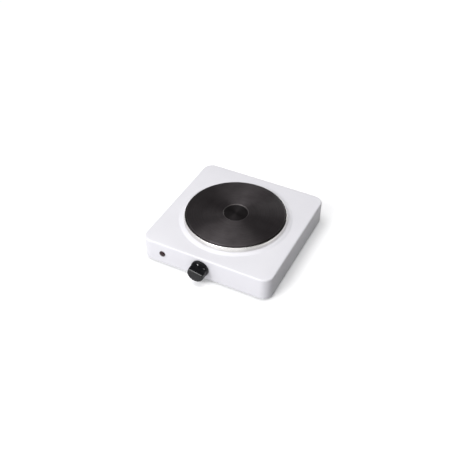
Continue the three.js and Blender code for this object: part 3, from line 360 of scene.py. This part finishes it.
def brushed(name, colour, rough, scale=700, stretch=(1, 1, 1)):
    s = Surface(name, Metallic=1.0)
    streak = s.noise(scale, 2, stretch=stretch)
    s.colours(s.blend(streak, s.noise(40, 4), 0.5), [
        (0.3, tinted(colour, 0.86)), (0.55, colour), (0.8, tinted(colour, 1.1)),
    ])
    s.roughness(streak, rough * 0.75, rough * 1.25)
    s.bumps((streak, 0.1, 0.03 * MM))
    return s.material


def galvanised():
    s = Surface("galvanised_sheet", Metallic=0.95)
    spangle = s.speckle(90)
    s.colours(spangle, [
        (0.1, (0.42, 0.44, 0.46)), (0.5, (0.55, 0.57, 0.59)), (0.9, (0.66, 0.68, 0.7)),
    ])
    s.roughness(spangle, 0.32, 0.52)
    s.bumps((s.noise(300, 3), 0.15, 0.05 * MM))
    return s.material


def moulded(name, colour, smoothest, roughest, grain=1500, depth=0.04 * MM, **sockets):
    s = Surface(name, **sockets)
    s.colours(s.noise(120, 3), [(0.3, tinted(colour, 0.85)), (0.7, tinted(colour, 1.15))])
    s.roughness(s.noise(300, 3), smoothest, roughest)
    s.bumps((s.noise(grain, 2), 0.25, depth))
    return s.material


def gritty(name, colour, rough):
    s = Surface(name)
    grain = s.noise(700, 5, 0.65)
    s.colours(grain, [(0.35, tinted(colour, 0.8)), (0.6, colour), (0.8, tinted(colour, 1.1))])
    s.roughness(grain, rough, min(1, rough + 0.1))
    s.bumps((grain, 0.4, 0.1 * MM))
    return s.material


def sleeve(name, colour, smoothest=0.5, roughest=0.65):
    return moulded(name, colour, smoothest, roughest, grain=800)


MATERIALS = {
    "enamel": enamel(),
    "galvanised_steel": galvanised(),
    "rubber": moulded(
        "black_rubber", (0.022, 0.022, 0.023), 0.7, 0.85, grain=900, depth=0.08 * MM,
    ),
    "cast_iron": cast_iron(),
    "stainless_steel": brushed(
        "polished_stainless", (0.78, 0.765, 0.745), 0.2, scale=300, stretch=(1, 1, 6),
    ),
    "plated_steel": brushed("zinc_plated_steel", (0.62, 0.63, 0.65), 0.32),
    "brass": brushed("brass", (0.74, 0.54, 0.24), 0.3),
    "bimetal": brushed("bimetal", (0.48, 0.43, 0.36), 0.36, scale=500, stretch=(1, 8, 8)),
    "ceramic": gritty("steatite_ceramic", (0.78, 0.74, 0.65), 0.6),
    "cement": gritty("coil_cement", (0.5, 0.46, 0.4), 0.85),
    "resistance_wire": brushed("resistance_wire", (0.22, 0.2, 0.18), 0.5),
    "black_plastic": moulded(
        "black_plastic", (0.007, 0.007, 0.008), 0.16, 0.24, Specular_IOR_Level=0.2,
    ),
    "red_lens": moulded(
        "red_lens", (0.024, 0.0035, 0.005), 0.1, 0.2, grain=500, depth=0.02 * MM,
        Transmission_Weight=0.2, Specular_IOR_Level=0.18, Coat_Weight=0.1, Coat_Roughness=0.05,
    ),
    "clear_glass": moulded(
        "bulb_glass", (0.9, 0.86, 0.82), 0.02, 0.06, grain=300, depth=0.01 * MM,
        Transmission_Weight=0.9,
    ),
    "resistor_body": moulded("resistor_body", (0.5, 0.38, 0.22), 0.3, 0.45),
    "insulation_brown": sleeve("brown_sleeve", (0.2, 0.09, 0.045)),
    "insulation_black": sleeve("black_sleeve", (0.02, 0.02, 0.02)),
    "insulation_blue": sleeve("blue_sleeve", (0.04, 0.11, 0.36)),
    "insulation_green": sleeve("green_sleeve", (0.12, 0.3, 0.04)),
    "insulation_white": sleeve("white_sleeve", (0.66, 0.64, 0.57), 0.55, 0.7),
    "white_print": moulded(
        "white_print", (0.88, 0.88, 0.86), 0.45, 0.6, grain=900, depth=0.02 * MM,
    ),
}


def finish_cad_nodes():
    for name, node in NODES.items():
        node.data.materials.clear()
        node.data.materials.append(MATERIALS[SLOT_OF[name]])


# ---- mesh kit -----------------------------------------------------------------------------

def add_piece(name, vertices, faces, material_slot, body, replaces=(), smooth_angle=35):
    """A mesh with its look and body."""
    mesh = bpy.data.meshes.new(name)
    mesh.from_pydata([tuple(v) for v in vertices], [], faces)
    mesh.validate()
    piece = bpy.data.objects.new(name, mesh)
    bpy.context.scene.collection.objects.link(piece)
    mesh.materials.append(MATERIALS[material_slot])
    mesh.shade_smooth()
    mesh.set_sharp_from_angle(angle=math.radians(smooth_angle))
    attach(piece, body)
    if replaces:
        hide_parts(*replaces)
    return piece


def rounded(points, radii, steps=5):
    """An open outline whose inner corners turn on arcs of the given radii (0 keeps a corner)."""
    longest_run = 0.49      # of either side, so that two arcs never meet
    result = [Vector(points[0])]
    for i in range(1, len(points) - 1):
        corner, radius = Vector(points[i]), radii[i]
        if radius <= 0:
            result.append(corner)
            continue
        before, after = Vector(points[i - 1]) - corner, Vector(points[i + 1]) - corner
        half = before.angle(after) / 2
        run = min(
            radius / math.tan(half), before.length * longest_run, after.length * longest_run,
        )
        start, end = before.normalized(), after.normalized()
        centre = corner + (start + end).normalized() * (run / math.cos(half))
        first, last = corner + start * run - centre, corner + end * run - centre
        sweep = first.angle(last)
        for step in range(steps + 1):
            share = step / steps
            arc = first * math.sin((1 - share) * sweep) + last * math.sin(share * sweep)
            result.append(centre + arc / math.sin(sweep))
    result.append(Vector(points[-1]))
    return result


def skin(rings, closed=False):
    """Vertices and faces of stacked rings; a ring of one point is a pole."""
    vertices, starts = [], []
    for ring in rings:
        starts.append(len(vertices))
        vertices.extend(ring)
    levels = list(range(len(rings)))
    if closed:
        levels.append(0)
    faces = []
    for low, high in zip(levels, levels[1:]):
        a, b = starts[low], starts[high]
        count = max(len(rings[low]), len(rings[high]))
        for i in range(count):
            j = (i + 1) % count
            if len(rings[low]) == 1:
                faces.append((a, b + j, b + i))
            elif len(rings[high]) == 1:
                faces.append((a + i, a + j, b))
            else:
                faces.append((a + i, a + j, b + j, b + i))
    return vertices, faces


def on_axis(centre, axis, radius, angle, height):
    across, along = radius * math.cos(angle), radius * math.sin(angle)
    if axis == "Z":
        return Vector((centre.x + across, centre.y + along, height))
    return Vector((centre.x + along, height, centre.z + across))


def turned(profile, centre, steps, axis="Z", closed=False):
    """A solid of (radius, height) points turned about an axis through centre."""
    smallest_ring = 1e-7
    rings = []
    for radius, height in profile:
        if radius < smallest_ring:
            rings.append([on_axis(centre, axis, 0, 0, height)])
        else:
            angles = [2 * math.pi * i / steps for i in range(steps)]
            rings.append([on_axis(centre, axis, radius, angle, height) for angle in angles])
    return skin(rings, closed)


def turned_from_front(profile, middle, steps):
    """A solid of (radius, depth) points about middle, with depth out of the casing's front."""
    centre = Vector((middle.x, 0, middle.z))
    vertices, faces = turned([(r, -depth) for r, depth in profile], centre, steps, axis="Y")
    return [Vector((v.x, FRONT + v.y, v.z)) for v in vertices], faces


# ---- casing -------------------------------------------------------------------------------

CORNER_RADIUS = 19 * MM
CORNER_STEPS = 12
SIDE_STEPS = 32
EDGE_RADIUS = 3 * MM
EDGE_STEPS = 8
SHEET = 0.8 * MM
SHEET_EDGE = 0.4 * MM       # a ring this far from a cut edge keeps the shading flat beside it
OPENING_GAP = 1.6 * MM
COLLAR_FLAT = 11 * MM
COLLAR_SLOPE = 5 * MM
COLLAR_BEND = 4 * MM
COLLAR_FOOT = 3 * MM
PLATE_FLANGE = 4.1 * MM
PLATE_RADIUS = (PLATE_HIGH.x - PLATE_LOW.x) / 2
PLATE_NECK = PLATE_RADIUS - PLATE_FLANGE


def rounded_square(half, corner, z):
    """A ring of points round a rounded square, counter-clockwise from the +X side's -Y end."""
    middle = Vector((half - corner, half - corner))
    side = [
        Vector((half, (half - corner) * (2 * i / SIDE_STEPS - 1))) for i in range(SIDE_STEPS)
    ]
    bend = [
        middle + corner * Vector((math.cos(a), math.sin(a)))
        for a in (math.pi / 2 * i / CORNER_STEPS for i in range(CORNER_STEPS))
    ]
    points = []
    for quarter in range(4):
        turn = Matrix.Rotation(quarter * math.pi / 2, 2)
        points.extend(turn @ p for p in side + bend)
    return [Vector((CENTRE.x + p.x, CENTRE.y + p.y, z)) for p in points]


def collar_rings():
    """Round rings from the opening's edge out to the collar's foot, spaced as the square is."""
    square = rounded_square(HALF_WIDTH, CORNER_RADIUS, 0)
    angles = [math.atan2(p.y - CENTRE.y, p.x - CENTRE.x) for p in square]
    opening = PLATE_NECK + OPENING_GAP
    flat_end = opening + COLLAR_FLAT
    foot = flat_end + COLLAR_SLOPE
    collar = rounded([
        (opening, COLLAR_TOP),
        (opening + SHEET_EDGE, COLLAR_TOP),
        (flat_end, COLLAR_TOP),
        (foot, TOP),
        (foot + COLLAR_FOOT, TOP),
    ], [0, 0, COLLAR_BEND, COLLAR_BEND, 0])
    return [
        [Vector((CENTRE.x + r * math.cos(a), CENTRE.y + r * math.sin(a), z)) for a in angles]
        for r, z in collar
    ]


def wall_rings():
    """Square rings from the top's rounded edge down to the rim."""
    rings = []
    for i in range(EDGE_STEPS + 1):
        angle = (math.pi / 2) * (1 - i / EDGE_STEPS)
        inset = EDGE_RADIUS * (1 - math.cos(angle))
        z = TOP - EDGE_RADIUS * (1 - math.sin(angle))
        rings.append(rounded_square(HALF_WIDTH - inset, CORNER_RADIUS - inset, z))
    for z in (RIM + SHEET_EDGE, RIM):
        rings.append(rounded_square(HALF_WIDTH, CORNER_RADIUS, z))
    return rings


def add_casing():
    rings = collar_rings() + wall_rings()
    vertices, faces = skin(rings[::-1])
    shell = add_piece("casing_shell", vertices, faces, "enamel", "chassis", ["casing"])
    sheet = shell.modifiers.new("sheet", "SOLIDIFY")
    sheet.thickness = SHEET
    sheet.offset = -1


# ---- plate and ring -----------------------------------------------------------------------

DISC_STEPS = 192
RECESS_SLOPE = (1.2 * MM, 0.4 * MM)     # how far it runs inside and outside the recess's radius
FLANGE_OVER_RING = 0.9 * MM
PLATE_SKIRT = 8.4 * MM
PLATE_HOLLOW = 7.8 * MM
UNDERSIDE_MIDDLE = 4.4 * MM
RING_PLAY = 0.7 * MM
RING_BEAD = 2.2 * MM
RING_SHEET = 0.6 * MM
RING_SLANT = 0.7                        # of a sheet, between the bead's two faces at its shoulder
RING_OVER_NECK = 0.6 * MM


def add_plate():
    top = PLATE_HIGH.z
    flange_low = RING_LOW.z + FLANGE_OVER_RING
    hollow_top = PLATE_LOW.z + PLATE_HOLLOW
    slope_in, slope_out = RECESS_SLOPE
    profile = rounded([
        (0, top - RECESS_DEPTH),
        (RECESS_RADIUS - slope_in, top - RECESS_DEPTH),
        (RECESS_RADIUS + slope_out, top),
        (PLATE_RADIUS, top),
        (PLATE_RADIUS, flange_low),
        (PLATE_NECK, flange_low),
        (PLATE_NECK, PLATE_LOW.z),
        (PLATE_NECK - PLATE_SKIRT, PLATE_LOW.z),
        (PLATE_NECK - PLATE_SKIRT, hollow_top),
        (UNDERSIDE_MIDDLE, hollow_top),
        (0, hollow_top),
    ], [0, 0.8 * MM, 0.5 * MM, 1.3 * MM, 0.4 * MM, 0, 0.5 * MM, 0, 0, 0, 0])
    vertices, faces = turned(profile[::-1], CENTRE, DISC_STEPS)
    add_piece("plate_casting", vertices, faces, "cast_iron", "chassis", ["hot_plate"])


def add_ring():
    wall = PLATE_RADIUS + RING_PLAY
    outer = (RING_HIGH.x - RING_LOW.x) / 2
    shoulder = outer - RING_BEAD
    floor = PLATE_NECK + RING_OVER_NECK
    low, high, sheet = RING_LOW.z, RING_HIGH.z, RING_SHEET
    outside = rounded([
        (outer, low), (shoulder, high), (wall, high), (wall, low + sheet), (floor, low + sheet),
    ], [0, 0.8 * MM, 0.8 * MM, 0.3 * MM, 0])
    inside = rounded([
        (floor, low), (wall + sheet, low), (wall + sheet, high - sheet),
        (shoulder - sheet * RING_SLANT, high - sheet), (outer - sheet, low),
    ], [0, 0.2 * MM, 0.3 * MM, 0.3 * MM, 0])
    vertices, faces = turned(outside + inside, CENTRE, DISC_STEPS, closed=True)
    add_piece("trim_ring_rolled", vertices, faces, "stainless_steel", "chassis", ["trim_ring"])


# ---- knob ---------------------------------------------------------------------------------

KNOB_STANDOFF = 1 * MM
KNOB_BEVEL = 1.2 * MM
SKIRT_DEPTH = 4 * MM
SKIRT_RADIUS = (KNOB_HIGH.x - KNOB_LOW.x) / 2
SKIRT_WALL = 2.2 * MM
SKIRT_HOLLOW = 2.5 * MM
SKIRT_CHAMFER = (0.6 * MM, 0.9 * MM)    # across the face and along the side
SKIRT_STEPS = 128
GRIP_RADIUS = 16 * MM
GRIP_TIP_RADIUS = 15.6 * MM
GRIP_FLAT = 7 * MM
GRIP_CORNER = 0.9 * MM
GRIP_CORNER_STEPS = 6
GRIP_SUNK = 0.5 * MM
GRIP_FROM = KNOB_STANDOFF + SKIRT_DEPTH
GRIP_POINTS = 96
BOW_STEPS = 60
BOW_CUT = 8                             # steps of the bow that each rounded corner takes up
REST_TURN = -math.radians(KNOB_TURN["range_deg"][0])


def from_knob(x, depth, z):
    """A point in the knob's own frame: depth out of the casing's front, z up when it is off."""
    across = x * math.cos(REST_TURN) + z * math.sin(REST_TURN)
    up = z * math.cos(REST_TURN) - x * math.sin(REST_TURN)
    return Vector((KNOB_AXIS.x + across, FRONT - depth, KNOB_AXIS.z + up))


def evenly_spaced(outline, count):
    """As many points as count, the same distance apart along a closed outline."""
    outline = outline + [outline[0]]
    lengths = [0]
    for a, b in zip(outline, outline[1:]):
        lengths.append(lengths[-1] + (b - a).length)
    points, at = [], 0
    for i in range(count):
        wanted = lengths[-1] * i / count
        while lengths[at + 1] < wanted:
            at += 1
        share = (wanted - lengths[at]) / (lengths[at + 1] - lengths[at])
        points.append(outline[at].lerp(outline[at + 1], share))
    return points


def grip_outline(radius, flat):
    """A circle with one flat, its two corners rounded, as (x, z) points at even spacing."""
    reach = math.acos(flat / radius)
    angles = [
        reach + (2 * math.pi - 2 * reach) * i / BOW_STEPS for i in range(BOW_STEPS + 1)
    ]
    bow = [Vector((radius * math.sin(a), radius * math.cos(a))) for a in angles]
    middle = Vector((0, flat))
    corner = rounded(
        [middle, bow[0], bow[BOW_CUT]], [0, GRIP_CORNER, 0], GRIP_CORNER_STEPS,
    )[1:-1]
    mirrored = [Vector((-p.x, p.y)) for p in reversed(corner)]
    return evenly_spaced(corner + bow[BOW_CUT + 1:-BOW_CUT - 1] + mirrored, GRIP_POINTS)


def knob_skirt():
    across, along = SKIRT_CHAMFER
    profile = rounded([
        (SKIRT_RADIUS - SKIRT_WALL, KNOB_STANDOFF + SKIRT_HOLLOW),
        (SKIRT_RADIUS - SKIRT_WALL, KNOB_STANDOFF),
        (SKIRT_RADIUS, KNOB_STANDOFF),
        (SKIRT_RADIUS, GRIP_FROM - along),
        (SKIRT_RADIUS - across, GRIP_FROM),
        (0, GRIP_FROM),
    ], [0, 0.3 * MM, 0.3 * MM, 0.6 * MM, 0.5 * MM, 0])
    return turned_from_front(profile, KNOB_AXIS, SKIRT_STEPS)


def knob_grip():
    tip = FRONT - KNOB_LOW.y
    rings = []
    for depth, inset in ((GRIP_FROM - GRIP_SUNK, 0.0), (tip - KNOB_BEVEL, 0.0), (tip, KNOB_BEVEL)):
        share = max(0.0, (depth - GRIP_FROM) / (tip - GRIP_FROM))
        radius = GRIP_RADIUS + (GRIP_TIP_RADIUS - GRIP_RADIUS) * share - inset
        outline = grip_outline(radius, GRIP_FLAT - inset)
        rings.append([from_knob(p.x, depth, p.y) for p in outline])
    rings.append([from_knob(0, tip, 0)])
    return skin(rings)


def add_knob():
    vertices, faces = knob_skirt()
    grip_vertices, grip_faces = knob_grip()
    faces += [tuple(i + len(vertices) for i in face) for face in grip_faces]
    vertices += grip_vertices
    faces = [face[::-1] for face in faces]
    add_piece(
        "knob_body", vertices, faces, "black_plastic", "control_knob", ["knob"], smooth_angle=40,
    )


MARK_TURNS = (-25, 50)
MARK_LENGTH = 3.4 * MM
MARK_WIDTH = 1.3 * MM
MARK_RADIUS = 10.4 * MM
MARK_DEPTHS = (GRIP_FROM - 0.05 * MM, GRIP_FROM + 0.08 * MM)
MARK_FACES = ((3, 2, 1, 0), (4, 5, 6, 7), (1, 5, 4, 0), (2, 6, 5, 1), (3, 7, 6, 2), (0, 4, 7, 3))


def add_knob_marks():
    """Two white strokes on the skirt's face, one past each end of the grip's flat."""
    vertices, faces = [], []
    for turn in MARK_TURNS:
        angle = math.radians(turn)
        out = Vector((math.sin(angle), math.cos(angle)))
        side = Vector((out.y, -out.x)) * MARK_WIDTH / 2
        inner = out * (MARK_RADIUS - MARK_LENGTH / 2)
        outer = out * (MARK_RADIUS + MARK_LENGTH / 2)
        corners = [inner - side, inner + side, outer + side, outer - side]
        faces += [tuple(len(vertices) + i for i in face) for face in MARK_FACES]
        for depth in MARK_DEPTHS:
            vertices += [from_knob(corner.x, depth, corner.y) for corner in corners]
    add_piece("knob_marks", vertices, faces, "white_print", "control_knob")


# ---- lamp and feet ------------------------------------------------------------------------

LENS_STEPS = 64
LENS_ARC_STEPS = 12
LENS_RIM = 0.8 * MM                     # how far the dome's rim is past the body and the front
LENS_STANDOFF = 0.3 * MM
LENS_WALL = 1.1 * MM

FOOT_STEPS = 64
FOOT_HOLE = 2 * MM
FOOT_POCKET = 4.6 * MM
FOOT_POCKET_TOP = 3 * MM
FOOT_SOLE = 8 * MM
FOOT_SIDE = (8.3 * MM, 2.2 * MM)        # radius and height just under the shoulder
FOOT_SHOULDER = 3 * MM


def add_lens():
    radius = (LENS_HIGH.x - LENS_LOW.x) / 2
    body = radius - LENS_RIM
    tip = FRONT - LENS_LOW.y
    back = FRONT - LENS_HIGH.y
    profile = []
    for i in range(LENS_ARC_STEPS + 1):
        angle = math.pi / 2 * i / LENS_ARC_STEPS
        profile.append((radius * math.sin(angle), LENS_RIM + (tip - LENS_RIM) * math.cos(angle)))
    profile += [
        (radius, LENS_STANDOFF), (body, LENS_STANDOFF), (body, back),
        (body - LENS_WALL, back), (body - LENS_WALL, 0), (0, 0),
    ]
    vertices, faces = turned_from_front(profile, (LENS_LOW + LENS_HIGH) / 2, LENS_STEPS)
    add_piece("lamp_lens_dome", vertices, faces, "red_lens", "chassis", ["lamp_lens"])


def add_feet():
    for name in ("front_left", "front_right", "rear_left", "rear_right"):
        node = f"foot_{name}"
        low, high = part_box(node)
        centre = (low + high) / 2
        radius = (high.x - low.x) / 2
        profile = rounded([
            (FOOT_HOLE, high.z),
            (FOOT_HOLE, FOOT_POCKET_TOP),
            (FOOT_POCKET, FOOT_POCKET_TOP),
            (FOOT_POCKET, 0),
            (FOOT_SOLE, 0),
            FOOT_SIDE,
            (radius, FOOT_SHOULDER),
            (radius, high.z),
            (FOOT_HOLE, high.z),
        ], [0, 0, 0.3 * MM, 0.4 * MM, 0.8 * MM, 0.5 * MM, 0.5 * MM, 0.4 * MM, 0])[:-1]
        vertices, faces = turned(profile, centre, FOOT_STEPS, closed=True)
        add_piece(f"{node}_moulding", vertices, faces, "rubber", "chassis", [node])


add_camera()
add_studio()
finish_cad_nodes()
add_casing()
add_plate()
add_ring()
add_knob()
add_knob_marks()
add_lens()
add_feet()
